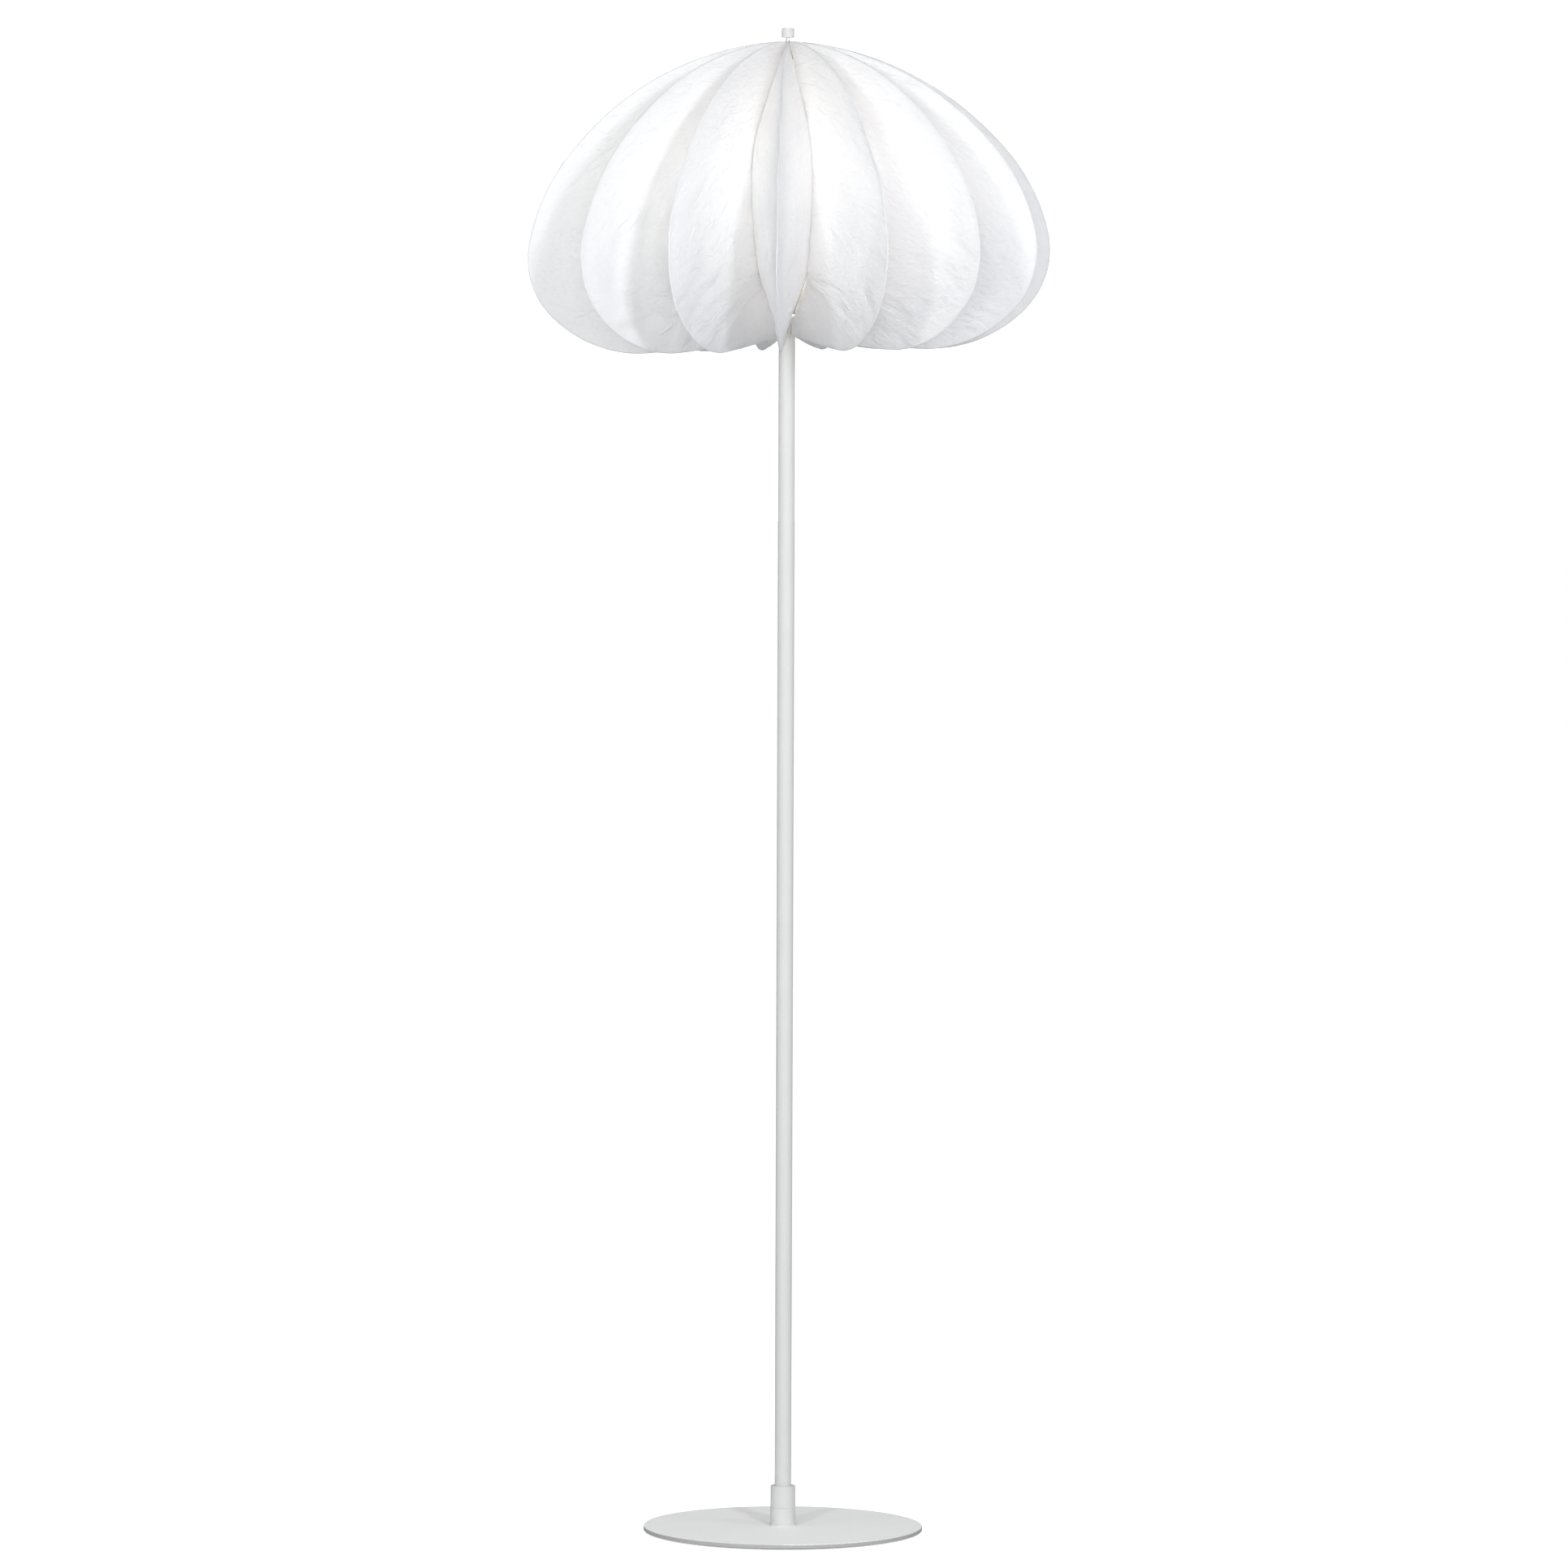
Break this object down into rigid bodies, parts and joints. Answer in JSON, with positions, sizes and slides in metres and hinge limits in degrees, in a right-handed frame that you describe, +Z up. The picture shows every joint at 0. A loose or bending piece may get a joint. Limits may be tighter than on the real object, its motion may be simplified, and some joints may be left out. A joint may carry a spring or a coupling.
{
  "type": "mushroom floor lamp",
  "caption": "Floor lamp with a folded white fabric mushroom shade on a wire harp, a thin round pole and a flat round steel base.",
  "frame": {"origin": "middle of the base's floor contact, on the pole's axis", "axes": "+Z up along the pole, -Y towards the front of the lamp, +Y towards the side where the lead leaves, +X to the right seen from the front"},
  "size_m": [0.6002, 0.5994, 1.7207],
  "materials": {
    "white_powder_coat": "satin",
    "shade_fabric": "matte",
    "shade_cord": "matte",
    "eva_pad": "matte",
    "zinc_steel": "satin",
    "nickel_plate": "satin",
    "nylon": "satin",
    "grommet_rubber": "satin",
    "lead_sheath": "satin",
    "holder_plastic": "gloss",
    "holder_ceramic": "matte",
    "contact_brass": "satin",
    "bulb_cap_metal": "satin",
    "bulb_insulator_black": "gloss",
    "bulb_body_white": "satin",
    "bulb_opal": "satin"
  },
  "bodies": {
    "stand": {"base_plate": "white_powder_coat", "base_boss": "white_powder_coat", "pole_sleeve": "white_powder_coat", "pole_tube": "white_powder_coat", "base_pad": "eva_pad", "base_screw": "zinc_steel", "sleeve_screw": "zinc_steel", "base_pipe": "zinc_steel", "head_pipe": "zinc_steel", "pole_foot_bush": "zinc_steel", "pole_head_bush": "zinc_steel", "saddle_nut": "zinc_steel", "harp_saddle": "nickel_plate", "harp_wire": "nickel_plate", "harp_hub": "nickel_plate", "lead_grommet": "grommet_rubber", "inner_lead": "lead_sheath", "holder_cap": "holder_plastic", "holder_shell": "holder_plastic", "holder_core": "holder_ceramic", "screw_shell": "contact_brass", "centre_contact": "contact_brass", "holder_terminals": "contact_brass"},
    "shade": {"shade_leaf_01": "shade_fabric", "shade_leaf_02": "shade_fabric", "shade_leaf_03": "shade_fabric", "shade_leaf_04": "shade_fabric", "shade_leaf_05": "shade_fabric", "shade_leaf_06": "shade_fabric", "shade_leaf_07": "shade_fabric", "shade_leaf_08": "shade_fabric", "shade_leaf_09": "shade_fabric", "shade_leaf_10": "shade_fabric", "shade_leaf_11": "shade_fabric", "shade_leaf_12": "shade_fabric", "shade_leaf_13": "shade_fabric", "shade_leaf_14": "shade_fabric", "shade_leaf_15": "shade_fabric", "shade_eyelet": "nickel_plate", "mouth_cord": "shade_cord"},
    "finial_lift": {"finial_washer": "nylon"},
    "finial_knob": {"finial": "white_powder_coat"},
    "ferrule_left": {"harp_ferrule_left": "nickel_plate"},
    "ferrule_right": {"harp_ferrule_right": "nickel_plate"},
    "bulb": {"bulb_cap": "bulb_cap_metal", "bulb_insulator": "bulb_insulator_black", "bulb_tip": "contact_brass", "bulb_neck": "bulb_body_white", "bulb_globe": "bulb_opal"}
  },
  "joints": [
    {"name": "shade_turn", "type": "hinge", "parent": "stand", "child": "shade", "pos_m": [0, 0, 1.7], "axis": [0, 0, 1], "continuous": true},
    {"name": "finial_rise", "type": "slide", "parent": "stand", "child": "finial_lift", "axis": [0, 0, 1], "range_m": [0, 0.0072]},
    {"name": "finial_turn", "type": "hinge", "parent": "finial_lift", "child": "finial_knob", "pos_m": [0, 0, 1.715], "axis": [0, 0, 1], "range_deg": [0, 3300]},
    {"name": "ferrule_left_slide", "type": "slide", "parent": "stand", "child": "ferrule_left", "axis": [0, 0, 1], "range_m": [0, 0.012]},
    {"name": "ferrule_right_slide", "type": "slide", "parent": "stand", "child": "ferrule_right", "axis": [0, 0, 1], "range_m": [0, 0.012]},
    {"name": "bulb_turn", "type": "hinge", "parent": "stand", "child": "bulb", "pos_m": [0, 0, 1.45], "axis": [0, 0, 1], "range_deg": [0, 1080]}
  ],
  "couplings": [
    {"joint": "finial_turn", "follows": "finial_rise", "rad_per_m": 7854}
  ]
}
